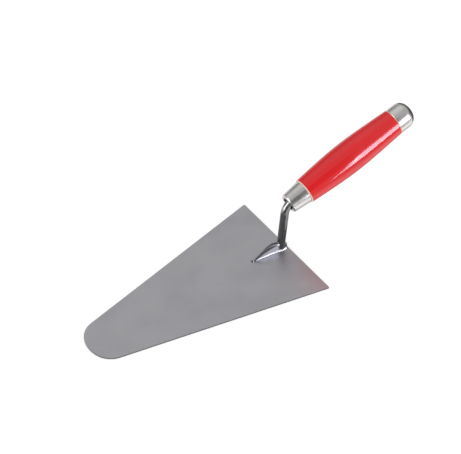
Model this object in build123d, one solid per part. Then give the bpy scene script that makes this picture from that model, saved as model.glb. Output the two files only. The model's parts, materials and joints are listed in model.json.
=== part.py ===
"""Brick trowel with a round-nosed blade, a forged and bent shank, and a turned wooden grip.

Frame: +Z is up, and the blade lies flat with its underside on z = 0. +X runs along the
blade towards its nose. The origin is on the underside, below the root of the neck, in the
trowel's plane of symmetry, which is y = 0. Lengths are in millimetres, angles in degrees.
"""

import os
from math import acos, atan2, cos, hypot, pi, radians, sin, sqrt, tan

from build123d import *

# Blade: one flat sheet with straight tapering sides and a nose of three arcs.
BLADE_LENGTH = 205.0
HEEL_WIDTH = 125.0
BLADE_THICKNESS = 1.4
SIDE_TAPER = 11.9
NOSE_RADIUS = 28.0
NOSE_CORNER_RADIUS = 20.0
HEEL_CORNER_RADIUS = 1.0
BLADE_EDGE_BREAK = 0.25

# Shank: foot, neck and tang, forged from one round bar.
ROD_RADIUS = 3.75
NECK_SETBACK = 6.0  # from the heel of the blade to the root of the neck's axis
NECK_LEAN = 4.8  # backwards from the vertical
NECK_HEIGHT = 50.5  # from the underside to where the neck's axis meets the handle's
ROOT_RADIUS = 3.9
ROOT_HEIGHT = 20.0  # of the neck's taper from its root radius to the bar's
BEND_RADIUS = 12.0
HANDLE_TILT = 17.1  # the handle's rise towards its butt
TANG_SIDE = 5.2
TANG_TAPER = 0.8
TANG_POINT_LENGTH = 6.0
TANG_TIP_SIDE = 1.0

# Foot, the fin under the neck: distance from the heel, half-width, height and ridge radius.
FOOT_SECTIONS = [
    (0.3, 2.4, 4.2, 1.9),
    (4.5, 3.8, 6.6, 2.6),
    (9.5, 3.0, 8.4, 2.4),
    (15.0, 2.0, 10.2, 1.85),
    (20.0, 1.35, 9.5, 1.3),
    (26.0, 0.8, 6.8, 0.75),
    (30.0, 0.5, 4.6, 0.45),
    (35.0, 0.25, 1.4, 0.2),
]

# Weld bead, a low sloping band round the foot: distance from the heel and half-width.
WELD_OUTLINE = [(0.0, 2.8), (2.8, 4.7), (6.5, 4.6), (9.5, 4.0), (15.0, 2.8)]
WELD_TIP = 38.2
WELD_HEIGHT = 1.5
WELD_SLOPE = 30.0  # from the vertical

# Handle: distances along its axis count from the ferrule's mouth towards the butt.
FERRULE_START = 2.7  # from the corner of the neck's and handle's axes to the ferrule's mouth
FERRULE_LENGTH = 18.0
FERRULE_MOUTH_RADIUS = 8.9
FERRULE_BACK_RADIUS = 10.6
FERRULE_WALL = 1.0
LIP_WIDTH = 3.0  # of the mouth's rolled lip, inwards from the ferrule's outside
LIP_LENGTH = 1.8
LIP_OUTER_ROUND = 1.6
LIP_INNER_ROUND = 0.7
RIM_ROUND = 0.3
GRIP_OUTLINE = [(11.55, 18.0), (13.45, 42.0), (14.5, 67.0), (13.75, 93.0), (12.25, 119.0)]
GRIP_FRONT_ROUND = 0.7
GRIP_REAR_ROUND = 0.35
TENON_RECESS = 6.2  # from the ferrule's mouth to the end face of the wood
CAP_TENON_LENGTH = 9.0
TENON_CHAMFER = 0.6
CAP_RADIUS = 12.15
CAP_STRAIGHT = 9.5
CAP_WALL = 0.8
CAP_KNUCKLE_RADIUS = 9.0
CAP_CROWN_RADIUS = 20.0
TANG_END = 88.0

# Brads: one through the ferrule and one through the cap, both driven from below.
BRAD_RADIUS = 0.8
BRAD_HEAD_RADIUS = 1.5
BRAD_HEAD_HEIGHT = 0.45
BRAD_HEAD_SEAT = 0.2  # how far the head's rim is let into the metal
BRAD_DOME_OUT = 0.7  # a point on the head's dome, as shares of its radius and height
BRAD_DOME_UP = 0.6
BRAD_LENGTH = 6.0
BRAD_POINT_LENGTH = 1.5
BRAD_POINT_RADIUS = 0.2
FERRULE_BRAD_AT = 13.5
CAP_BRAD_AT = 124.0

HEEL_X = -NECK_SETBACK
CAP_START = GRIP_OUTLINE[-1][1]

# The handle's own frame: z along its axis towards the butt, x up, origin in the mouth.
CORNER = Vector(-(NECK_HEIGHT - BLADE_THICKNESS) * tan(radians(NECK_LEAN)), 0, NECK_HEIGHT)
HANDLE_AXIS = Vector(-cos(radians(HANDLE_TILT)), 0, sin(radians(HANDLE_TILT)))
HANDLE_UP = Vector(sin(radians(HANDLE_TILT)), 0, cos(radians(HANDLE_TILT)))
HANDLE = Plane(CORNER + HANDLE_AXIS * FERRULE_START, x_dir=HANDLE_UP, z_dir=HANDLE_AXIS)


def nose_points():
    """The nose's corner arc: where it meets the front arc, its middle, and the side."""
    taper = radians(SIDE_TAPER)
    front_x = BLADE_LENGTH - NOSE_RADIUS
    start_y = HEEL_WIDTH / 2 - NOSE_CORNER_RADIUS / cos(taper)
    slope = tan(taper)
    reach = NOSE_RADIUS - NOSE_CORNER_RADIUS
    a = 1 + slope**2
    b = -2 * (front_x + start_y * slope)
    c = front_x**2 + start_y**2 - reach**2
    centre_x = (-b + sqrt(b * b - 4 * a * c)) / (2 * a)
    centre_y = start_y - slope * centre_x
    join = atan2(centre_y, centre_x - front_x)
    side = radians(90 - SIDE_TAPER)

    def on_corner(angle):
        x = HEEL_X + centre_x + NOSE_CORNER_RADIUS * cos(angle)
        return x, centre_y + NOSE_CORNER_RADIUS * sin(angle)

    return on_corner(join), on_corner((join + side) / 2), on_corner(side)


def make_blade():
    front, middle, side = nose_points()
    heel = (HEEL_X, HEEL_WIDTH / 2)
    nose = (HEEL_X + BLADE_LENGTH, 0)

    def flip(point):
        return (point[0], -point[1])

    with BuildPart() as blade:
        with BuildSketch():
            with BuildLine():
                Line(flip(heel), heel)
                Line(heel, side)
                ThreePointArc(side, middle, front)
                ThreePointArc(front, nose, flip(front))
                ThreePointArc(flip(front), flip(middle), flip(side))
                Line(flip(side), flip(heel))
            make_face()
        extrude(amount=BLADE_THICKNESS)
        fillet(blade.edges().filter_by(Axis.Z).group_by(Axis.X)[0], HEEL_CORNER_RADIUS)
        chamfer(blade.faces().filter_by(Axis.Z).edges(), BLADE_EDGE_BREAK)
    return blade.part


def foot_section(from_heel, half_width, height, ridge_radius):
    """Upright section of the foot: a flat base and two flanks that meet in a round ridge."""
    centre_z = height - ridge_radius
    slant = acos(ridge_radius / hypot(half_width, centre_z))
    angle = atan2(-centre_z, half_width) + slant
    touch = (ridge_radius * cos(angle), centre_z + ridge_radius * sin(angle))
    plane = Plane((HEEL_X + from_heel, 0, BLADE_THICKNESS), x_dir=(0, 1, 0), z_dir=(1, 0, 0))
    with BuildSketch(plane) as section:
        with BuildLine():
            Line((-half_width, 0), (half_width, 0))
            Line((half_width, 0), touch)
            ThreePointArc(touch, (0, height), (-touch[0], touch[1]))
            Line((-touch[0], touch[1]), (-half_width, 0))
        make_face()
    return section.sketch.face()


def make_neck():
    """The round bar: thick at its root, up the neck and round the bend to the wood."""
    up = Vector(-sin(radians(NECK_LEAN)), 0, cos(radians(NECK_LEAN)))
    turn = radians(90 - NECK_LEAN - HANDLE_TILT)
    tangent = BEND_RADIUS * tan(turn / 2)
    root = Vector(0, 0, BLADE_THICKNESS)
    with BuildLine() as path:
        Line(root, CORNER - up * tangent)
        TangentArc(CORNER - up * tangent, CORNER + HANDLE_AXIS * tangent, tangent=up)
        Line(CORNER + HANDLE_AXIS * tangent, HANDLE.origin + HANDLE_AXIS * TENON_RECESS)
    level = Plane(root, x_dir=(0, 1, 0), z_dir=up)
    bar = sweep(level * Circle(ROD_RADIUS), path=path.line)
    flare = loft([level * Circle(ROOT_RADIUS), level.offset(ROOT_HEIGHT) * Circle(ROD_RADIUS)])
    return bar + flare


def make_tang():
    """The square taper that is driven into the wood, with a four-sided point."""
    start = HANDLE.offset(TENON_RECESS)
    length = TANG_END - TANG_POINT_LENGTH - TENON_RECESS
    end_side = TANG_SIDE - 2 * length * tan(radians(TANG_TAPER))
    body = extrude(start * Rectangle(TANG_SIDE, TANG_SIDE), amount=length, taper=TANG_TAPER)
    base = start.offset(length) * Rectangle(end_side, end_side)
    tip = HANDLE.offset(TANG_END) * Rectangle(TANG_TIP_SIDE, TANG_TIP_SIDE)
    return body + loft([base, tip])


def make_shank():
    foot = loft([foot_section(*row) for row in FOOT_SECTIONS], ruled=True)
    forging = foot + make_neck()
    room = 4 * ROOT_RADIUS
    blade_room = Box(room, room, BLADE_THICKNESS, align=(Align.CENTER, Align.CENTER, Align.MIN))
    return forging - blade_room + make_tang()


def make_weld_bead(shank):
    """A sloping band on the blade, round the foot from one side of the heel to the other."""
    left = [(HEEL_X + from_heel, half_width) for from_heel, half_width in WELD_OUTLINE]
    right = [(x, -y) for x, y in left]
    tip = (HEEL_X + WELD_TIP, 0)
    outline = make_face(Polyline(*right, tip, *reversed(left), close=True))
    base = Pos(0, 0, BLADE_THICKNESS) * outline
    return extrude(base, amount=WELD_HEIGHT, taper=WELD_SLOPE) - shank


def turned(edges):
    """Turn a closed outline of (radius, distance along) about the z axis."""
    return revolve(Plane.XZ * make_face(edges), Axis.Z)


def ferrule_radius(along):
    """The ferrule's outer radius at a distance from its mouth."""
    widening = (FERRULE_BACK_RADIUS - FERRULE_MOUTH_RADIUS) / FERRULE_LENGTH
    return FERRULE_MOUTH_RADIUS + widening * along


def make_front_ferrule():
    """A tapered tube of sheet steel whose mouth is rolled inwards into a round lip."""
    lip_inside = FERRULE_MOUTH_RADIUS - LIP_WIDTH
    with BuildLine() as outline:
        Polyline(
            (lip_inside, 0),
            (FERRULE_MOUTH_RADIUS, 0),
            (FERRULE_BACK_RADIUS, FERRULE_LENGTH),
            (FERRULE_BACK_RADIUS - FERRULE_WALL, FERRULE_LENGTH),
            (ferrule_radius(LIP_LENGTH) - FERRULE_WALL, LIP_LENGTH),
            (lip_inside, LIP_LENGTH),
            close=True,
        )
        inner_corner, outer_corner = outline.vertices().group_by(Axis.Y)[0].sort_by(Axis.X)
        fillet(inner_corner, LIP_INNER_ROUND)
        fillet(outer_corner, LIP_OUTER_ROUND)
        fillet(outline.vertices().group_by(Axis.Y)[-1].sort_by(Axis.X)[-1], RIM_ROUND)
    return HANDLE * turned(outline.edges())


def make_grip():
    """The wood: a swelling grip between two tenons, the front one tapered to its ferrule."""
    front_radius = FERRULE_BACK_RADIUS - FERRULE_WALL
    rear_radius = CAP_RADIUS - CAP_WALL
    tenon_end = CAP_START + CAP_TENON_LENGTH
    rear = Polyline(
        GRIP_OUTLINE[-1],
        (rear_radius, CAP_START),
        (rear_radius, tenon_end),
        (0, tenon_end),
        (0, TENON_RECESS),
        (ferrule_radius(TENON_RECESS) - FERRULE_WALL, TENON_RECESS),
        (front_radius, FERRULE_LENGTH),
        GRIP_OUTLINE[0],
    )
    wood = turned([Spline(*GRIP_OUTLINE), *rear.edges()])
    front_end, front_shoulder, rear_shoulder, rear_end = (
        ring.sort_by(SortBy.RADIUS)[-1]
        for ring in wood.edges().filter_by(GeomType.CIRCLE).group_by(Axis.Z)
    )
    wood = fillet(front_shoulder, GRIP_FRONT_ROUND)
    wood = fillet(rear_shoulder, GRIP_REAR_ROUND)
    wood = chamfer([front_end, rear_end], TENON_CHAMFER)
    return HANDLE * wood - make_tang()


def cap_outline(inset):
    """Half of the cap's section, moved inwards by inset: straight side, knuckle and crown."""
    radius = CAP_RADIUS - inset
    knuckle = CAP_KNUCKLE_RADIUS - inset
    crown = CAP_CROWN_RADIUS - inset
    centre_radius = CAP_RADIUS - CAP_KNUCKLE_RADIUS
    centre_along = CAP_START + CAP_STRAIGHT
    reach = CAP_CROWN_RADIUS - CAP_KNUCKLE_RADIUS
    turn = acos(centre_radius / reach)
    crown_along = centre_along - reach * sin(turn)
    middle = (pi / 2 + turn) / 2

    def on_knuckle(angle):
        return centre_radius + knuckle * cos(angle), centre_along + knuckle * sin(angle)

    return [
        Line((radius, CAP_START), (radius, centre_along)),
        ThreePointArc((radius, centre_along), on_knuckle(turn / 2), on_knuckle(turn)),
        ThreePointArc(
            on_knuckle(turn),
            (crown * cos(middle), crown_along + crown * sin(middle)),
            (0, crown_along + crown),
        ),
    ]


def make_end_cap():
    """A drawn cap with a flattish dome, hollow behind the wood's rear tenon."""
    outer = cap_outline(0)
    inner = cap_outline(CAP_WALL)
    mouth = Line(outer[0] @ 0, inner[0] @ 0)
    centre = Line(outer[-1] @ 1, inner[-1] @ 1)
    cap = turned([*outer, centre, *inner, mouth])
    rim = cap.edges().filter_by(GeomType.CIRCLE).group_by(Axis.Z)[0].sort_by(SortBy.RADIUS)[-1]
    return HANDLE * fillet(rim, RIM_ROUND)


def make_brad(along, surface_radius):
    """A round-headed nail driven upwards through the metal into the wood."""
    seat = Plane(
        HANDLE.from_local_coords((-surface_radius, 0, along)), x_dir=HANDLE_AXIS, z_dir=HANDLE_UP
    )
    head = ThreePointArc(
        (0, -BRAD_HEAD_HEIGHT),
        (BRAD_HEAD_RADIUS * BRAD_DOME_OUT, -BRAD_HEAD_HEIGHT * BRAD_DOME_UP),
        (BRAD_HEAD_RADIUS, BRAD_HEAD_SEAT),
    )
    rest = Polyline(
        (BRAD_HEAD_RADIUS, BRAD_HEAD_SEAT),
        (BRAD_RADIUS, BRAD_HEAD_SEAT),
        (BRAD_RADIUS, BRAD_LENGTH - BRAD_POINT_LENGTH),
        (BRAD_POINT_RADIUS, BRAD_LENGTH),
        (0, BRAD_LENGTH),
        (0, -BRAD_HEAD_HEIGHT),
    )
    return seat * turned([head, *rest.edges()])


def main():
    shank = make_shank()
    ferrule_brad = make_brad(FERRULE_BRAD_AT, ferrule_radius(FERRULE_BRAD_AT))
    cap_brad = make_brad(CAP_BRAD_AT, CAP_RADIUS)
    nodes = {
        "blade": make_blade(),
        "shank": shank,
        "weld_bead": make_weld_bead(shank),
        "front_ferrule": make_front_ferrule() - ferrule_brad,
        "grip": make_grip() - ferrule_brad - cap_brad,
        "end_cap": make_end_cap() - cap_brad,
        "ferrule_brad": ferrule_brad,
        "cap_brad": cap_brad,
    }
    os.makedirs("parts", exist_ok=True)
    for name, solid in nodes.items():
        export_step(solid, f"parts/{name}.step")


main()
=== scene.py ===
"""Looks of the brick trowel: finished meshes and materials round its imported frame.

Everything is in metres and in the record's frame: the blade lies on z = 0, +X points to its
nose, and the grip rises to the rear. MM turns a size in millimetres into metres. Azimuths and
elevations are in degrees: azimuth 0 is -Y and azimuth 90 is +X.
"""

import json
from math import acos, asin, atan2, cos, pi, radians, sin, sqrt, tan

import bpy
import numpy as np
from mathutils import Matrix, Vector
from mathutils.bvhtree import BVHTree


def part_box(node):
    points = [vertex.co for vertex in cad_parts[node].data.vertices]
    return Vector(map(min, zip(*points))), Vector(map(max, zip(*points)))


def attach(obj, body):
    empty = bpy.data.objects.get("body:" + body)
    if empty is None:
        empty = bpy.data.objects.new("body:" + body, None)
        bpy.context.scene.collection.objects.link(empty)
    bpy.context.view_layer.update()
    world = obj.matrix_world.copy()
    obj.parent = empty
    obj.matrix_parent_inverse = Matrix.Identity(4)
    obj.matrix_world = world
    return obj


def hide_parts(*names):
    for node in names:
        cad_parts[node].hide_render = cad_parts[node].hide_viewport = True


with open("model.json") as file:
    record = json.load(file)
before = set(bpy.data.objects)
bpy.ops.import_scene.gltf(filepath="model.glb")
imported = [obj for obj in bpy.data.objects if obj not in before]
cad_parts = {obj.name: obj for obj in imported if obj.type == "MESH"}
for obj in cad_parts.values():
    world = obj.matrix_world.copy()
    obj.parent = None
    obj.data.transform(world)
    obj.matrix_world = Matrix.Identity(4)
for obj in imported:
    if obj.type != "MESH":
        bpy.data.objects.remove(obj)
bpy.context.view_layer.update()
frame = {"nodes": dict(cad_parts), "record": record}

MM = 0.001
BODY = "root"
NODES = frame["nodes"]
RECORD = frame["record"]
RAY_START = 100 * MM  # from the handle's axis, well outside its pieces

# Blade: straight sides, small arcs at the heel's corners and a nose of three arcs.
SIDE_TAPER = radians(11.9)
NOSE_RADIUS = 28 * MM
NOSE_CORNER_RADIUS = 20 * MM
HEEL_HALF_WIDTH = 62.5 * MM
HEEL_CORNER_RADIUS = 1.0 * MM
BLADE_EDGE_RADIUS = 0.3 * MM
# Painted shade: the blade's upright rim darkens to this share, for edges in shadow at the floor.
RIM_SHADE = 0.32  # how bright the blade's rim is, next to its faces
HEEL_CORNER_STEPS = 6
NOSE_STEPS = 24
SIDE_STEPS = 30
EDGE_STEPS = 3
BLADE_COLUMNS = 24

# Forging and weld: voxels and rounds of smoothing that take the creases off their solids.
FORGING_VOXEL = 0.22 * MM
FORGING_SMOOTHING = 10
WELD_VOXEL = 0.12 * MM
WELD_SMOOTHING = 5
WELD_RIPPLE = 0.03 * MM
WELD_RIPPLE_PITCH = 1.4 * MM

# Tones of the foot. Between these x the forging turns dark, and its flanks are lighter under a
# parabola: the height at x = 0, less the fall times x squared, with a blurred edge.
DARK_FROM = (2.8 * MM, 4.6 * MM)
PALE_HEIGHT = 9.0 * MM
PALE_FALL = 10.3
PALE_BLUR = 0.8 * MM

# Near-black steel: both ends of the weld, measured inwards from them and fading with height, and a
# spot on the blade beside the weld's tip. At the heel it is painted shadow in the gap by the foot.
NEAR_BLACK = (0.03, 0.03, 0.03, 1)
SHADOW_AT_HEEL = (0.8 * MM, 1.3 * MM)
DARK_AT_TIP = (2.4 * MM, 1.8 * MM)
DARK_HEIGHT = (6 * MM, 9 * MM)
SPOT_RADIUS = 1.4 * MM
SPOT_BEHIND = 2.0 * MM
SPOT_ASIDE = -1.1 * MM

# Ferrule and cap. The probes are where the ferrule's and the cap's outsides are measured.
SHEET_WALL = 1.0 * MM
LIP_WIDTH = 3.0 * MM
LIP_LENGTH = 1.8 * MM
LIP_OUTER_ROUND = 1.6 * MM
LIP_INNER_ROUND = 0.7 * MM
RIM_ROUND = 0.3 * MM
FERRULE_FRONT_PROBE = 2.5 * MM
FERRULE_BACK_PROBE = 0.5 * MM
CAP_PROBE = 3 * MM
CAP_WALL = 0.8 * MM
CAP_STRAIGHT = 9.5 * MM
CAP_KNUCKLE_RADIUS = 9.0 * MM
CAP_CROWN_RADIUS = 20.0 * MM
KNUCKLE_STEPS = 20
CROWN_STEPS = 16

# Brads: round-headed nails. The dome reaches BRAD_DOME_SHARE of the head's radius.
BRAD_CROWN = 2.6 * MM
BRAD_HEAD_DEPTH = 0.65 * MM
BRAD_DOME_SHARE = 0.85
BRAD_RIM_SHARE = 0.62
BRAD_RIM_ROUND = 0.2 * MM
BRAD_RADIUS = 0.8 * MM
BRAD_POINT_LENGTH = 1.5 * MM
BRAD_POINT_RADIUS = 0.2 * MM
BRAD_SIDES = 48
BRAD_DOME_STEPS = 8

# Grip: a spline through the CAD solid's radii, with a small round at each end. Bare wood
# shows in a narrow ring at both ends and inside the ferrule, where its front is painted near
# black as shadow deep in the mouth.
GRIP_STATIONS = 9
GRIP_STEPS = 72
GRIP_FRONT_MARGIN = 1.0 * MM
GRIP_REAR_MARGIN = 0.5 * MM
GRIP_FRONT_FALL = 0.1 * MM
GRIP_REAR_FALL = 0.02 * MM
GRIP_FRONT_ROUND = 0.7 * MM
GRIP_REAR_ROUND = 0.35 * MM
TENON_CHAMFER = 0.6 * MM
BARE_FRONT = 0.75 * MM
BARE_REAR = 0.4 * MM
MOUTH_SHADOW_BEFORE = 6 * MM

# Camera: the direction that it looks from, and the point that the view is centred on.
VIEW_AZIMUTH = 144.37
VIEW_ELEVATION = 45.56
VIEW_DISTANCE = 1.4
VIEW_CENTRE = Vector((27.3, -37.6, 12.3)) * MM
SENSOR_WIDTH = 36.0
LENS = 123.8

# Floor
FLOOR_DROP = 0.3 * MM
FLOOR_HALF_SIZE = 3.0
FLOOR_GREY = (0.70, 0.70, 0.70, 1)
FLOOR_GLOW = 0.46

# Softboxes stand this far from the middle of the grip.
SOFTBOX_DISTANCE = 1.0
SOFTBOX_AIM = Vector((-70, 0, 70)) * MM
COOL = (0.96, 0.96, 1.12)

# The tent of light. The camera sees TENT_SEEN. Diffuse light is TENT_SOFT, and falls off to
# TENT_SHADED in a lobe on the -Y side. Reflections see TENT_EVEN with a bright top, a dim skirt
# on the -Y side, a bright spot on the +Y side, and a dark opening that joins the spots in
# TENT_OPENINGS. A lobe is its azimuth, its elevation, and the angles from its middle within
# which it is full and at which it ends.
TENT_SEEN = 1.0
TENT_SOFT = 1.14
TENT_SHADED = 0.62
TENT_EVEN = 0.50
TENT_TOP = 0.72
TENT_SKIRT = 0.29
TENT_SIDE = 1.0
TENT_OPENING = 0.15
SHADE_LOBE = (13, 33, 10, 90)
TOP_LOBE = (345, 60, 5, 35)
SKIRT_LOBE = (355, 2, 8, 46)
SIDE_LOBE = (171, -4, 4, 15)
OPENING_REACH = (6, 17)
TENT_OPENINGS = [
    (148, 46), (161, 50), (169, 32), (149, 24), (146, 4), (128, 8), (112, -4), (98, 46),
]


# ---------------------------------------------------------------- places from the frame

def handle_frame():
    """The handle's own frame: z along its axis towards the butt, x up, origin in the mouth."""
    grip = next(m for m in RECORD["mounts"] if m["name"] == "grip")
    axis = Vector(grip["axis"]).normalized()
    across = Vector((0, 1, 0))
    middle = Vector(grip["pos_m"])
    mouth = min((v.co - middle).dot(axis) for v in NODES["front_ferrule"].data.vertices)
    turn = Matrix((across.cross(axis), across, axis)).transposed().to_4x4()
    return Matrix.Translation(middle + axis * mouth) @ turn


HANDLE = handle_frame()


def in_handle(node):
    """A node's vertices in the handle's frame, as rows of numbers."""
    inverse = HANDLE.inverted()
    return np.array([inverse @ v.co for v in NODES[node].data.vertices])


def span(node):
    """Where a node starts and ends along the handle's axis, from the ferrule's mouth."""
    along = in_handle(node)[:, 2]
    return along.min(), along.max()


def radius_at(node, along):
    """A node's outer radius at a distance along the handle's axis, on the handle's upper side."""
    faces = [tuple(p.vertices) for p in NODES[node].data.polygons]
    tree = BVHTree.FromPolygons([Vector(row) for row in in_handle(node)], faces)
    hit = tree.ray_cast(Vector((RAY_START, 0, along)), Vector((-1, 0, 0)))[0]
    return hit.x


# ---------------------------------------------------------------- meshes

def make_piece(name, points, faces, node, material, place=None, sharp=radians(40)):
    """A mesh piece that stands for a CAD node and rides on the trowel's one body."""
    if place is not None:
        points = [place @ Vector(p) for p in points]
    mesh = bpy.data.meshes.new(name)
    mesh.from_pydata([tuple(p) for p in points], [], faces)
    mesh.validate()
    mesh.shade_smooth()
    mesh.set_sharp_from_angle(angle=sharp)
    mesh.materials.append(material)
    piece = bpy.data.objects.new(name, mesh)
    bpy.context.scene.collection.objects.link(piece)
    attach(piece, BODY)
    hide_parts(node)
    return piece


def arc(centre, radius, start, end, steps):
    """Points on an arc, both ends included."""
    return [
        (centre[0] + radius * cos(a), centre[1] + radius * sin(a))
        for a in np.linspace(start, end, steps + 1)
    ]


def rounded(corners, steps=8):
    """An open outline of (x, y, radius) corners, with an arc at each whose radius isn't 0."""
    points = []
    for i, (x, y, radius) in enumerate(corners):
        if radius == 0:
            points.append((x, y))
            continue
        here = np.array((x, y))
        before = np.array(corners[i - 1][:2]) - here
        after = np.array(corners[i + 1][:2]) - here
        before = before / np.linalg.norm(before)
        after = after / np.linalg.norm(after)
        half = acos(np.clip(before @ after, -1, 1)) / 2
        middle = (before + after) / np.linalg.norm(before + after)
        centre = here + middle * radius / sin(half)
        first = here + before * radius / tan(half) - centre
        last = here + after * radius / tan(half) - centre
        start = atan2(first[1], first[0])
        sweep = atan2(first[0] * last[1] - first[1] * last[0], first @ last)
        points += arc(centre, radius, start, start + sweep, steps)
    return points


def turned(outline, steps=160):
    """Turn an outline of (radius, along) about z: a point on the axis becomes a pole."""
    on_axis = 1e-7
    points, rings, faces = [], [], []
    for radius, along in outline:
        if radius < on_axis:
            rings.append([len(points)])
            points.append((0, 0, along))
            continue
        rings.append(list(range(len(points), len(points) + steps)))
        for a in np.arange(steps) * 2 * pi / steps:
            points.append((radius * cos(a), radius * sin(a), along))
    closed = outline[0][0] > on_axis
    for i in range(len(rings) if closed else len(rings) - 1):
        first, second = rings[i], rings[(i + 1) % len(rings)]
        for k in range(steps):
            n = (k + 1) % steps
            if len(first) == 1 and len(second) == 1:
                continue
            if len(first) == 1:
                faces.append((first[0], second[n], second[k]))
            elif len(second) == 1:
                faces.append((first[k], first[n], second[0]))
            else:
                faces.append((first[k], first[n], second[n], second[k]))
    return points, faces


def smooth_through(stations, values, steps):
    """A natural cubic spline through values at stations, as steps + 1 points (value, station)."""
    n = len(stations)
    gaps = np.diff(stations)
    system, right = np.eye(n), np.zeros(n)
    for i in range(1, n - 1):
        system[i, i - 1 : i + 2] = gaps[i - 1], 2 * (gaps[i - 1] + gaps[i]), gaps[i]
        rise = (values[i + 1] - values[i]) / gaps[i] - (values[i] - values[i - 1]) / gaps[i - 1]
        right[i] = 6 * rise
    bend = np.linalg.solve(system, right)
    samples = []
    for x in np.linspace(stations[0], stations[-1], steps + 1):
        i = min(max(int(np.searchsorted(stations, x)) - 1, 0), n - 2)
        h, a, b = gaps[i], stations[i + 1] - x, x - stations[i]
        y = (bend[i] * a**3 + bend[i + 1] * b**3) / (6 * h)
        y += (values[i] / h - bend[i] * h / 6) * a + (values[i + 1] / h - bend[i + 1] * h / 6) * b
        samples.append((y, x))
    return samples


# ---------------------------------------------------------------- shader nodes

def set_inputs(tree, node, inputs):
    """Set a node's inputs by name, or by number as i0, i1: each from a value or a socket."""
    for key, value in inputs.items():
        socket = node.inputs[int(key[1:]) if key[1:].isdigit() else key.replace("_", " ")]
        if isinstance(value, bpy.types.NodeSocket):
            tree.links.new(value, socket)
        else:
            socket.default_value = value


def add_node(tree, kind, settings=None, **inputs):
    """A new shader node with some of its settings and inputs set."""
    node = tree.nodes.new(kind)
    for key, value in (settings or {}).items():
        setattr(node, key, value)
    set_inputs(tree, node, inputs)
    return node


def new_material(name):
    """A material, its node tree and its Principled shader."""
    material = bpy.data.materials.new(name)
    material.use_nodes = True
    tree = material.node_tree
    return material, tree, tree.nodes["Principled BSDF"]


def own_place(tree):
    """Coordinates in the record's frame."""
    return add_node(tree, "ShaderNodeTexCoord").outputs["Object"]


def handle_place(tree):
    """Coordinates in the handle's frame."""
    return add_node(
        tree, "ShaderNodeMapping", {"vector_type": "TEXTURE"}, Vector=own_place(tree),
        Location=HANDLE.translation, Rotation=HANDLE.to_euler(),
    ).outputs["Vector"]


def split(tree, vector):
    """The X, Y and Z outputs of a vector."""
    return add_node(tree, "ShaderNodeSeparateXYZ", Vector=vector).outputs


def normal_parts(tree):
    """The X, Y and Z outputs of the surface's normal."""
    return split(tree, add_node(tree, "ShaderNodeNewGeometry").outputs["Normal"])


def noise(tree, place, scale, detail=2.0, roughness=0.5):
    """Noise at a place, with a scale per metre on each axis."""
    vector = add_node(tree, "ShaderNodeMapping", Vector=place, Scale=scale).outputs["Vector"]
    return add_node(
        tree, "ShaderNodeTexNoise", Vector=vector, Scale=1.0, Detail=detail, Roughness=roughness
    ).outputs["Fac"]


def remap(tree, value, low, high, from_low=0.25, from_high=0.75):
    """A value spread from one range, which is by default the usual one of noise, to another."""
    return add_node(
        tree, "ShaderNodeMapRange", Value=value, From_Min=from_low, From_Max=from_high,
        To_Min=low, To_Max=high,
    ).outputs["Result"]


def calc(tree, operation, a, b=0.0):
    """One step of arithmetic."""
    return add_node(tree, "ShaderNodeMath", {"operation": operation}, i0=a, i1=b).outputs[0]


def mix(tree, factor, a, b, blend="MIX"):
    """Mix two colours; each is a tuple or a socket."""
    settings = {"data_type": "RGBA", "blend_type": blend}
    return add_node(tree, "ShaderNodeMix", settings, i0=factor, i6=a, i7=b).outputs[2]


def mix_values(tree, factor, a, b):
    """Mix two numbers; each is a number or a socket."""
    return add_node(
        tree, "ShaderNodeMix", {"data_type": "FLOAT"}, i0=factor, i2=a, i3=b
    ).outputs[0]


def bump(tree, height, distance, **normal):
    """A normal tilted by a height, on top of another Normal if one is given."""
    return add_node(
        tree, "ShaderNodeBump", Strength=1.0, Distance=distance, Height=height, **normal
    ).outputs["Normal"]


# ---------------------------------------------------------------- materials

def shadowed_heel_and_dark_tip(tree, place):
    """1 at both ends of the weld, where the steel is painted near black, as shadow at the heel,
    and 0 between and above them.
    """
    parts = split(tree, place)
    heel, tip = (corner.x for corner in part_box("weld_bead"))
    behind = remap(tree, parts["X"], 1, 0, heel + SHADOW_AT_HEEL[0], heel + SHADOW_AT_HEEL[1])
    ahead = remap(tree, parts["X"], 0, 1, tip - DARK_AT_TIP[0], tip - DARK_AT_TIP[1])
    low = remap(tree, parts["Z"], 1, 0, *DARK_HEIGHT)
    return calc(tree, "MULTIPLY", calc(tree, "MAXIMUM", behind, ahead), low)


def dark_spot_by_tip(tree, place):
    """1 in a small spot on the blade beside the weld's tip, and 0 away from it."""
    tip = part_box("weld_bead")[1].x
    centre = (tip - SPOT_BEHIND, SPOT_ASIDE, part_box("blade")[1].z)
    reach = add_node(
        tree, "ShaderNodeVectorMath", {"operation": "DISTANCE"}, i0=place, i1=centre
    ).outputs["Value"]
    return remap(tree, reach, 1, 0, 0.5 * SPOT_RADIUS, SPOT_RADIUS)


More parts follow.
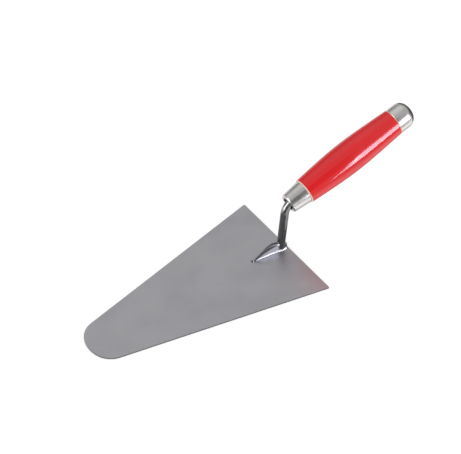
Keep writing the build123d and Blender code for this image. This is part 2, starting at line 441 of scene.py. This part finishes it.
def blade_steel():
    """Ground spring steel: fine lines along the blade, soft clouds, and a few stray scratches."""
    material, tree, bsdf = new_material("blade_steel")
    place = own_place(tree)
    lines = noise(tree, place, (25, 4200, 25), detail=3)
    clouds = noise(tree, place, (22, 30, 22), detail=2)
    scratches = calc(tree, "GREATER_THAN", noise(tree, place, (60, 900, 40), detail=1), 0.76)
    cloudy = remap(tree, clouds, 0, 1, 0.38, 0.62)
    tone = mix(tree, cloudy, (0.468, 0.465, 0.490, 1), (0.515, 0.51, 0.535, 1))
    # A near-black spot on the blade beside the weld's tip.
    tone = mix(tree, dark_spot_by_tip(tree, place), tone, NEAR_BLACK)
    # Painted shade: the upright rim is darkened to RIM_SHADE of the faces' tone.
    upright = calc(tree, "ABSOLUTE", normal_parts(tree)["Z"])
    rim = remap(tree, upright, RIM_SHADE, 1, 0.5, 0.9)
    shade = calc(tree, "MULTIPLY", remap(tree, lines, 0.97, 1.03), rim)
    grey = add_node(tree, "ShaderNodeCombineColor", Red=shade, Green=shade, Blue=shade)
    roughness = calc(tree, "ADD", remap(tree, lines, 0.38, 0.44), remap(tree, clouds, -0.02, 0.03))
    roughness = calc(tree, "ADD", roughness, calc(tree, "MULTIPLY", scratches, 0.06))
    height = calc(tree, "SUBTRACT", lines, calc(tree, "MULTIPLY", scratches, 0.6))
    set_inputs(tree, bsdf, {
        "Base Color": mix(tree, 1.0, tone, grey.outputs[0], "MULTIPLY"),
        "Metallic": 1.0,
        "Roughness": roughness,
        "Normal": bump(tree, height, 0.004 * MM),
    })
    return material


def forged_steel():
    """The shank: polished forging with soft hammer flats, dark ahead of the neck's root, lighter
    on the fin's flanks, and near black at the weld's ends, as painted shadow at the heel."""
    material, tree, bsdf = new_material("forged_steel")
    place = own_place(tree)
    flats = noise(tree, place, (260, 260, 160), detail=1)
    grains = noise(tree, place, (2500, 2500, 2500), detail=3)
    tone = mix(tree, remap(tree, flats, 0, 1), (0.25, 0.25, 0.26, 1), (0.33, 0.33, 0.34, 1))
    parts = split(tree, place)
    ahead = remap(tree, parts["X"], 0, 1, *DARK_FROM)
    tone = mix(tree, ahead, tone, (0.15, 0.15, 0.16, 1))
    square = calc(tree, "MULTIPLY", parts["X"], parts["X"])
    edge = calc(tree, "SUBTRACT", PALE_HEIGHT, calc(tree, "MULTIPLY", square, PALE_FALL))
    low = remap(tree, calc(tree, "SUBTRACT", edge, parts["Z"]), 0, 1, -PALE_BLUR, PALE_BLUR)
    flank = remap(tree, calc(tree, "ABSOLUTE", normal_parts(tree)["Y"]), 0, 1, 0.55, 0.85)
    # The fin's flanks are lighter under the parabola, ahead of the neck's root.
    pale_flank = calc(tree, "MULTIPLY", calc(tree, "MULTIPLY", flank, low), ahead)
    tone = mix(tree, pale_flank, tone, (0.80, 0.795, 0.84, 1))
    # Near black at both ends of the weld: at the heel, painted shadow in the gap by the foot.
    tone = mix(tree, shadowed_heel_and_dark_tip(tree, place), tone, NEAR_BLACK)
    roughness = calc(tree, "ADD", remap(tree, flats, 0.14, 0.22), remap(tree, grains, -0.02, 0.03))
    roughness = calc(tree, "ADD", roughness, calc(tree, "MULTIPLY", ahead, 0.36))
    coarse = bump(tree, flats, 0.10 * MM)
    set_inputs(tree, bsdf, {
        "Base Color": tone,
        "Metallic": 1.0,
        "Roughness": roughness,
        "Normal": bump(tree, grains, 0.003 * MM, Normal=coarse),
    })
    return material


def weld_metal():
    """Bright filler metal with a fine rough skin, near black at both ends, which at the heel
    is painted shadow.
    """
    material, tree, bsdf = new_material("weld_metal")
    place = own_place(tree)
    skin = noise(tree, place, (900, 900, 900), detail=2)
    tone = mix(tree, remap(tree, skin, 0, 1), (0.50, 0.50, 0.51, 1), (0.62, 0.62, 0.63, 1))
    set_inputs(tree, bsdf, {
        "Base Color": mix(tree, shadowed_heel_and_dark_tip(tree, place), tone, NEAR_BLACK),
        "Metallic": 1.0,
        "Roughness": remap(tree, skin, 0.38, 0.5),
        "Normal": bump(tree, skin, 0.02 * MM),
    })
    return material


def plated_steel():
    """Nickel plate over drawn sheet: faint rings from polishing, and soft clouds."""
    material, tree, bsdf = new_material("plated_steel")
    place = handle_place(tree)
    rings = noise(tree, place, (12, 12, 2600), detail=2)
    clouds = noise(tree, place, (120, 120, 120), detail=2)
    roughness = calc(tree, "ADD", remap(tree, rings, 0.16, 0.20), remap(tree, clouds, 0.0, 0.05))
    pale, dull = (0.77, 0.755, 0.74, 1), (0.71, 0.695, 0.675, 1)
    coarse = bump(tree, clouds, 0.03 * MM)
    set_inputs(tree, bsdf, {
        "Base Color": mix(tree, remap(tree, clouds, 0, 1), dull, pale),
        "Metallic": 1.0,
        "Roughness": roughness,
        "Normal": bump(tree, rings, 0.0015 * MM, Normal=coarse),
    })
    return material


def lacquered_wood(front, rear):
    """Red lacquer on turned wood between front and rear along z, and bare wood past them."""
    material, tree, bsdf = new_material("lacquered_wood")
    place = handle_place(tree)
    along = split(tree, place)["Z"]
    after = calc(tree, "GREATER_THAN", along, front)
    painted = calc(tree, "MULTIPLY", after, calc(tree, "LESS_THAN", along, rear))
    grain = noise(tree, place, (420, 420, 16), detail=4, roughness=0.6)
    blotches = noise(tree, place, (45, 45, 30), detail=2)
    peel = noise(tree, place, (260, 260, 120), detail=1)
    red = mix(tree, remap(tree, blotches, 0, 1), (0.65, 0.010, 0.013, 1), (0.72, 0.008, 0.014, 1))
    red = mix(tree, remap(tree, grain, 0, 0.30, 0.5, 0.8), red, (0.52, 0.008, 0.010, 1))
    bare = mix(tree, remap(tree, grain, 0, 1), (0.84, 0.76, 0.62, 1), (0.70, 0.60, 0.44, 1))
    # Painted shadow: bare wood deep in the ferrule's mouth is near black.
    mouth_shadow = calc(tree, "LESS_THAN", along, front - MOUTH_SHADOW_BEFORE)
    bare = mix(tree, mouth_shadow, bare, (0.035, 0.028, 0.022, 1))
    orange_peel = bump(tree, peel, 0.03 * MM)
    set_inputs(tree, bsdf, {
        "Base Color": mix(tree, painted, bare, red),
        "Metallic": 0.0,
        "Roughness": remap(tree, painted, 0.6, 0.35, 0, 1),
        "Specular IOR Level": 0.0,
        "Coat Weight": painted,
        "Coat Roughness": 0.07,
        "Coat IOR": 1.6,
        "Coat Normal": orange_peel,
        "Normal": bump(tree, grain, 0.012 * MM, Normal=orange_peel),
    })
    return material


def brad_steel():
    """Drawn wire, speckled."""
    material, tree, bsdf = new_material("brad_steel")
    specks = noise(tree, own_place(tree), (1800, 1800, 1800), detail=2)
    set_inputs(tree, bsdf, {
        "Base Color": mix(
            tree, remap(tree, specks, 0, 1), (0.42, 0.41, 0.40, 1), (0.62, 0.61, 0.60, 1)
        ),
        "Metallic": 1.0,
        "Roughness": remap(tree, specks, 0.25, 0.4),
        "Normal": bump(tree, specks, 0.01 * MM),
    })
    return material


# ---------------------------------------------------------------- blade

def blade_side(inset):
    """The blade's outline on its +Y side, from heel to nose, moved inwards by inset."""
    low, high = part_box("blade")
    front_x = high.x - NOSE_RADIUS
    start_y = HEEL_HALF_WIDTH - NOSE_CORNER_RADIUS / cos(SIDE_TAPER)
    slope = tan(SIDE_TAPER)
    reach = NOSE_RADIUS - NOSE_CORNER_RADIUS
    # The corner arc's centre lies on the side's inner parallel, at reach from the front arc's.
    ahead = front_x - low.x
    a = 1 + slope**2
    b = -2 * (ahead + start_y * slope)
    c = ahead**2 + start_y**2 - reach**2
    from_heel = (-b + sqrt(b * b - 4 * a * c)) / (2 * a)
    centre = (low.x + from_heel, start_y - slope * from_heel)
    join = atan2(centre[1], centre[0] - front_x)
    side = pi / 2 - SIDE_TAPER
    # The heel's corner arc is tangent to the heel and to the side.
    r = HEEL_CORNER_RADIUS
    heel_x = low.x + r
    heel_y = HEEL_HALF_WIDTH - (heel_x - low.x) * slope - r / cos(SIDE_TAPER)
    points = arc((heel_x, heel_y), r - inset, pi, side, HEEL_CORNER_STEPS)
    points += arc(centre, NOSE_CORNER_RADIUS - inset, side, join, NOSE_STEPS)
    points += arc((front_x, 0), NOSE_RADIUS - inset, join, 0, NOSE_STEPS)[1:]
    return points


def even_blade_side(inset):
    """The same side with even steps along its straight part."""
    side = blade_side(inset)
    head, tail = side[: HEEL_CORNER_STEPS + 1], side[HEEL_CORNER_STEPS + 1 :]
    (x0, y0), (x1, y1) = head[-1], tail[0]
    shares = np.linspace(0, 1, SIDE_STEPS + 1)[1:-1]
    return head + [(x0 + (x1 - x0) * t, y0 + (y1 - y0) * t) for t in shares] + tail


def blade_rim(inset, z):
    """The whole rim: across the heel, up the +Y side to the nose and back."""
    side = even_blade_side(inset)
    x0, y0 = side[0]
    heel = [(x0, -y0 + 2 * y0 * k / BLADE_COLUMNS) for k in range(BLADE_COLUMNS)]
    other = [(x, -y) for x, y in reversed(side[1:-1])]
    return [(x, y, z) for x, y in heel + side + other]


def make_blade():
    """A flat sheet with softly rounded edges: a grid on each face and bands round the rim."""
    low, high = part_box("blade")
    r = BLADE_EDGE_RADIUS
    quarter = np.linspace(0, pi / 2, EDGE_STEPS + 1)
    rims = [blade_rim(r * (1 - sin(a)), high.z - r * (1 - cos(a))) for a in quarter]
    rims += [blade_rim(r * (1 - sin(a)), low.z + r * (1 - cos(a))) for a in reversed(quarter)]
    n = len(rims[0])
    points = [p for rim in rims for p in rim]
    faces = []
    for i in range(len(rims) - 1):
        for k in range(n):
            m = (k + 1) % n
            faces.append((i * n + k, (i + 1) * n + k, (i + 1) * n + m, i * n + m))

    side_count = len(even_blade_side(0))

    def cover(first, flip):
        """Fill the rim from one point on with rows that run straight across the blade."""
        plus = [first + BLADE_COLUMNS + j for j in range(side_count)]
        minus = [first] + [first + n - j for j in range(1, side_count - 1)]
        previous = list(range(first, first + BLADE_COLUMNS + 1))
        for j in range(1, side_count - 1):
            start, end = Vector(points[minus[j]]), Vector(points[plus[j]])
            row = [minus[j]]
            for k in range(1, BLADE_COLUMNS):
                row.append(len(points))
                points.append(tuple(start.lerp(end, k / BLADE_COLUMNS)))
            row.append(plus[j])
            for k in range(BLADE_COLUMNS):
                quad = (previous[k], previous[k + 1], row[k + 1], row[k])
                faces.append(quad[::-1] if flip else quad)
            previous = row
        for k in range(BLADE_COLUMNS):
            triangle = (previous[k], previous[k + 1], plus[-1])
            faces.append(triangle[::-1] if flip else triangle)

    cover(0, True)
    cover((len(rims) - 1) * n, False)
    return make_piece("blade_sheet", points, faces, "blade", blade_steel())


# ---------------------------------------------------------------- shank and weld bead

def remeshed(node, voxel, smoothing):
    """A node's solid as an even mesh whose creases are smoothed off."""
    source = bpy.data.objects.new("remeshed", NODES[node].data.copy())
    bpy.context.scene.collection.objects.link(source)
    grid = source.modifiers.new("grid", "REMESH")
    grid.mode = "VOXEL"
    grid.voxel_size = voxel
    smooth = source.modifiers.new("smooth", "SMOOTH")
    smooth.factor = 0.5
    smooth.iterations = smoothing
    graph = bpy.context.evaluated_depsgraph_get()
    mesh = bpy.data.meshes.new_from_object(source.evaluated_get(graph))
    bpy.data.objects.remove(source)
    return mesh


def make_shank():
    """The forging, with the creases between fin and neck blended as if hammered."""
    mesh = remeshed("shank", FORGING_VOXEL, FORGING_SMOOTHING)
    points = [tuple(v.co) for v in mesh.vertices]
    faces = [tuple(p.vertices) for p in mesh.polygons]
    return make_piece(
        "shank_forging", points, faces, "shank", forged_steel(), sharp=pi
    )


def make_weld_bead():
    """The bead, sunk a little between its ripples."""
    mesh = remeshed("weld_bead", WELD_VOXEL, WELD_SMOOTHING)
    points = []
    for v in mesh.vertices:
        ripple = 0.5 - 0.5 * cos(2 * pi * v.co.x / WELD_RIPPLE_PITCH)
        points.append(tuple(v.co - v.normal * WELD_RIPPLE * ripple * max(v.normal.z, 0)))
    faces = [tuple(p.vertices) for p in mesh.polygons]
    return make_piece(
        "weld_run", points, faces, "weld_bead", weld_metal(), sharp=pi
    )


# ---------------------------------------------------------------- handle

def make_ferrule(material):
    """A tapered tube with a lip turned in at its mouth; its taper is measured on the solid."""
    start, end = span("front_ferrule")
    front = radius_at("front_ferrule", start + FERRULE_FRONT_PROBE)
    back = radius_at("front_ferrule", end - FERRULE_BACK_PROBE)
    slope = (back - front) / (end - start - FERRULE_FRONT_PROBE - FERRULE_BACK_PROBE)
    mouth_radius = front - slope * FERRULE_FRONT_PROBE
    back_radius = back + slope * FERRULE_BACK_PROBE
    inside = mouth_radius - LIP_WIDTH
    outline = rounded([
        (back_radius - SHEET_WALL, end, 0),
        (mouth_radius + slope * LIP_LENGTH - SHEET_WALL, start + LIP_LENGTH, 0),
        (inside, start + LIP_LENGTH, 0),
        (inside, start, LIP_INNER_ROUND),
        (mouth_radius, start, LIP_OUTER_ROUND),
        (back_radius, end, RIM_ROUND),
        (back_radius - SHEET_WALL, end, 0),
    ])[:-1]
    points, faces = turned(outline)
    return make_piece(
        "ferrule_shell", points, faces, "front_ferrule", material, HANDLE
    )


def make_grip():
    """The turned wood: its barrel, and the tenons that fill the ferrule and the cap."""
    wood_start, wood_end = span("grip")
    front = span("front_ferrule")[1]
    rear = span("end_cap")[0]
    stations = np.linspace(front + GRIP_FRONT_MARGIN, rear - GRIP_REAR_MARGIN, GRIP_STATIONS)
    radii = [radius_at("grip", s) for s in stations]
    barrel = smooth_through(stations, radii, GRIP_STEPS)
    ferrule_inside = radius_at("front_ferrule", front - FERRULE_BACK_PROBE) - SHEET_WALL
    tenon_radius = radius_at("front_ferrule", wood_start) - SHEET_WALL
    cap_inside = radius_at("end_cap", rear + CAP_PROBE) - CAP_WALL
    outline = rounded([
        (0, wood_start, 0),
        (tenon_radius, wood_start, TENON_CHAMFER),
        (ferrule_inside, front, 0),
        (barrel[0][0] - GRIP_FRONT_FALL, front, GRIP_FRONT_ROUND),
        (barrel[0][0], stations[0], 0),
    ])
    outline += barrel[1:]
    outline += rounded([
        barrel[-1] + (0,),
        (barrel[-1][0] - GRIP_REAR_FALL, rear, GRIP_REAR_ROUND),
        (cap_inside, rear, 0),
        (cap_inside, wood_end, TENON_CHAMFER),
        (0, wood_end, 0),
    ])[1:]
    points, faces = turned(outline)
    material = lacquered_wood(front + BARE_FRONT, rear - BARE_REAR)
    return make_piece("turned_grip", points, faces, "grip", material, HANDLE)


def cap_section(start, radius, inset):
    """Half of the cap's section from its mouth to the crown, moved inwards by inset."""
    centre_radius = radius - CAP_KNUCKLE_RADIUS
    centre_along = start + CAP_STRAIGHT
    reach = CAP_CROWN_RADIUS - CAP_KNUCKLE_RADIUS
    turn = acos(centre_radius / reach)
    crown_along = centre_along - reach * sin(turn)
    points = [(radius - inset, start)]
    points += arc(
        (centre_radius, centre_along), CAP_KNUCKLE_RADIUS - inset, 0, turn, KNUCKLE_STEPS
    )
    points += arc((0, crown_along), CAP_CROWN_RADIUS - inset, turn, pi / 2, CROWN_STEPS)[1:]
    return points


def make_cap(material):
    """A drawn cup with a straight wall, a round knuckle and a flatter crown."""
    start = span("end_cap")[0]
    radius = radius_at("end_cap", start + CAP_PROBE)
    outer = cap_section(start, radius, 0)
    inner = cap_section(start, radius, CAP_WALL)
    rim = rounded([
        inner[0] + (0,),
        (radius, start, RIM_ROUND),
        outer[1] + (0,),
    ])
    outline = list(reversed(inner)) + rim[1:-1] + outer[1:]
    points, faces = turned(outline)
    return make_piece("cap_shell", points, faces, "end_cap", material, HANDLE)


def make_brad(node, material):
    """A round-headed nail, driven upwards: its head stands a little proud of the metal."""
    corners = in_handle(node)
    top, point = corners[:, 0].min(), corners[:, 0].max()
    head = corners[:, 1].max()
    along = (corners[:, 2].min() + corners[:, 2].max()) / 2
    depth = point - top
    dome_end = asin(BRAD_DOME_SHARE * head / BRAD_CROWN) - pi / 2
    outline = [(0, 0)]
    outline += arc((0, BRAD_CROWN), BRAD_CROWN, -pi / 2, dome_end, BRAD_DOME_STEPS)[1:]
    outline += rounded([
        outline[-1] + (0,),
        (head, BRAD_HEAD_DEPTH * BRAD_RIM_SHARE, BRAD_RIM_ROUND),
        (head, BRAD_HEAD_DEPTH, 0),
        (BRAD_RADIUS, BRAD_HEAD_DEPTH, 0),
        (BRAD_RADIUS, depth - BRAD_POINT_LENGTH, 0),
        (BRAD_POINT_RADIUS, depth, 0),
        (0, depth, 0),
    ])[1:]
    points, faces = turned(outline, BRAD_SIDES)
    place = HANDLE @ Matrix.Translation((top, 0, along)) @ Matrix.Rotation(pi / 2, 4, "Y")
    return make_piece(node + "_nail", points, faces, node, material, place)


plate = plated_steel()
brad_metal = brad_steel()
make_blade()
grip = make_grip()
foot = [make_shank(), make_weld_bead()]
fittings = [
    make_ferrule(plate),
    make_cap(plate),
    make_brad("ferrule_brad", brad_metal),
    make_brad("cap_brad", brad_metal),
]


# ---------------------------------------------------------------- camera, floor and light

def direction(azimuth, elevation):
    """Unit vector towards a place at an azimuth and elevation in degrees."""
    a, e = radians(azimuth), radians(elevation)
    return Vector((sin(a) * cos(e), -cos(a) * cos(e), sin(e)))


def add_camera():
    """The camera, which looks down on the trowel from its +Y side and from ahead."""
    back = direction(VIEW_AZIMUTH, VIEW_ELEVATION)
    data = bpy.data.cameras.new("camera")
    data.sensor_width = SENSOR_WIDTH
    data.lens = LENS
    camera = bpy.data.objects.new("camera", data)
    camera.location = VIEW_CENTRE + back * VIEW_DISTANCE
    camera.rotation_mode = "QUATERNION"
    camera.rotation_quaternion = (-back).to_track_quat("-Z", "Y")
    bpy.context.scene.collection.objects.link(camera)
    bpy.context.scene.camera = camera


def add_floor():
    """A plain pale floor just under the blade, with a glow that keeps it close to white."""
    s = FLOOR_HALF_SIZE
    mesh = bpy.data.meshes.new("floor")
    corners = [(x, y, -FLOOR_DROP) for x, y in ((-s, -s), (s, -s), (s, s), (-s, s))]
    mesh.from_pydata(corners, [], [(0, 1, 2, 3)])
    material, tree, bsdf = new_material("floor")
    set_inputs(tree, bsdf, {
        "Base Color": FLOOR_GREY,
        "Roughness": 0.9,
        "Specular IOR Level": 0.0,
        "Emission Color": (1, 1, 1, 1),
        "Emission Strength": FLOOR_GLOW,
    })
    mesh.materials.append(material)
    floor = bpy.data.objects.new("floor", mesh)
    bpy.context.scene.collection.objects.link(floor)


def hide_from(thing, *rays):
    """Take a light or card out of the sight of some kinds of ray."""
    for ray in rays:
        setattr(thing, "visible_" + ray, False)


def add_softbox(name, pieces, azimuth, elevation, width, height, radiance, colour=(1, 1, 1)):
    """A rectangular light that is seen only in the reflections of some pieces."""
    data = bpy.data.lights.new(name, "AREA")
    data.shape = "RECTANGLE"
    data.size = width
    data.size_y = height
    data.energy = radiance * pi * width * height
    data.color = colour
    light = bpy.data.objects.new(name, data)
    towards = direction(azimuth, elevation)
    light.location = SOFTBOX_AIM + towards * SOFTBOX_DISTANCE
    light.rotation_mode = "QUATERNION"
    light.rotation_quaternion = towards.to_track_quat("Z", "Y")
    hide_from(light, "camera", "diffuse")
    lit = bpy.data.collections.new(name + "_lit")
    for piece in pieces:
        lit.objects.link(piece)
    light.light_linking.receiver_collection = lit
    bpy.context.scene.collection.objects.link(light)


def add_card(name, corners, radiance):
    """A flat card that only shows in reflections."""
    mesh = bpy.data.meshes.new(name)
    mesh.from_pydata(corners, [], [(0, 1, 2, 3)])
    material = bpy.data.materials.new(name)
    material.use_nodes = True
    tree = material.node_tree
    tree.nodes.clear()
    glow = add_node(tree, "ShaderNodeEmission", Strength=radiance)
    add_node(tree, "ShaderNodeOutputMaterial", i0=glow.outputs[0])
    mesh.materials.append(material)
    card = bpy.data.objects.new(name, mesh)
    bpy.context.scene.collection.objects.link(card)
    hide_from(card, "camera", "diffuse", "shadow", "transmission")


def add_table_card(name, outline, radiance, height=0.0):
    """A card that lies flat, in place of the table that reflections would show."""
    add_card(name, [(x, y, height) for x, y in outline], radiance)


def add_world():
    """A tent of light: even for the camera, shaded on one side for diffuse light, and dimmer
    with an opening towards the viewer for reflections."""
    world = bpy.data.worlds.new("tent")
    bpy.context.scene.world = world
    world.use_nodes = True
    tree = world.node_tree
    towards = add_node(tree, "ShaderNodeTexCoord").outputs["Generated"]

    def near(azimuth, elevation, inner, outer):
        """1 within the inner angle of a direction, falling to 0 at the outer angle."""
        facing = add_node(
            tree, "ShaderNodeVectorMath", {"operation": "DOT_PRODUCT"},
            i0=towards, i1=direction(azimuth, elevation),
        ).outputs["Value"]
        return remap(tree, facing, 0, 1, cos(radians(outer)), cos(radians(inner)))

    reflected = remap(tree, near(*TOP_LOBE), TENT_EVEN, TENT_TOP, 0, 1)
    reflected = mix_values(tree, near(*SKIRT_LOBE), reflected, TENT_SKIRT)
    reflected = mix_values(tree, near(*SIDE_LOBE), reflected, TENT_SIDE)
    opening = 0.0
    for azimuth, elevation in TENT_OPENINGS:
        opening = calc(tree, "MAXIMUM", opening, near(azimuth, elevation, *OPENING_REACH))
    reflected = mix_values(tree, opening, reflected, TENT_OPENING)
    soft = remap(tree, near(*SHADE_LOBE), TENT_SOFT, TENT_SHADED, 0, 1)
    rays = add_node(tree, "ShaderNodeLightPath").outputs
    strength = mix_values(tree, rays["Is Diffuse Ray"], TENT_SEEN, soft)
    strength = mix_values(tree, rays["Is Glossy Ray"], strength, reflected)
    set_inputs(tree, tree.nodes["Background"], {"Color": (1, 1, 1, 1), "Strength": strength})


add_camera()
add_floor()
add_world()

# A large softbox beside the handle, of another strength for each kind of surface, a smaller one
# by its edge and one by its corner, a strip above it, and a tall one beyond the nose. The
# numbers are azimuth, elevation, width, height and radiance.
for name, pieces, radiance in (("grip", [grip], 9), ("foot", foot, 8), ("fittings", fittings, 2.4)):
    add_softbox("side_softbox_" + name, pieces, 208, 10.5, 0.60, 0.46, radiance, COOL)
all_but_blade = [grip] + foot + fittings
add_softbox("side_softbox_edge", all_but_blade, 189.5, 2, 0.10, 0.16, 5, COOL)
add_softbox("side_softbox_corner", [grip], 190.4, 13, 0.095, 0.22, 5.5, COOL)
add_softbox("side_softbox_upper", all_but_blade, 208, 28, 0.60, 0.14, 1.6, COOL)
add_softbox("nose_softbox", all_but_blade, 82, 24, 0.52, 1.0, 4)

# The table as the metal sees it: grey on the handle's +Y side and under the grip, dark past the
# blade's +Y edge and in a patch behind the neck's root. The flag is a dark card that stands
# behind the butt.
add_table_card("far_table", [(-1.5, 0.16), (0.03, 0.16), (0.03, 1.6), (-1.5, 1.6)], 0.55)
add_table_card("near_table", [(-0.30, -0.30), (-0.02, -0.30), (-0.02, 0.043), (-0.30, 0.043)], 0.6)
add_table_card("front_table", [(0.035, 0.063), (0.19, 0.032), (1.1, 0.3), (0.3, 1.1)], 0.12)
root_patch = [(-0.006, 0.003), (-0.032, 0.0085), (-0.020, 0.028), (-0.006, 0.030)]
add_table_card("root_shade", root_patch, 0.12, 0.3 * MM)
flag = [(-0.25, y, z) for y, z in ((-0.18, 0), (0.06, 0), (0.06, 0.15), (-0.18, 0.15))]
add_card("flag", flag, 0.10)

bpy.context.scene.view_settings.view_transform = "Standard"
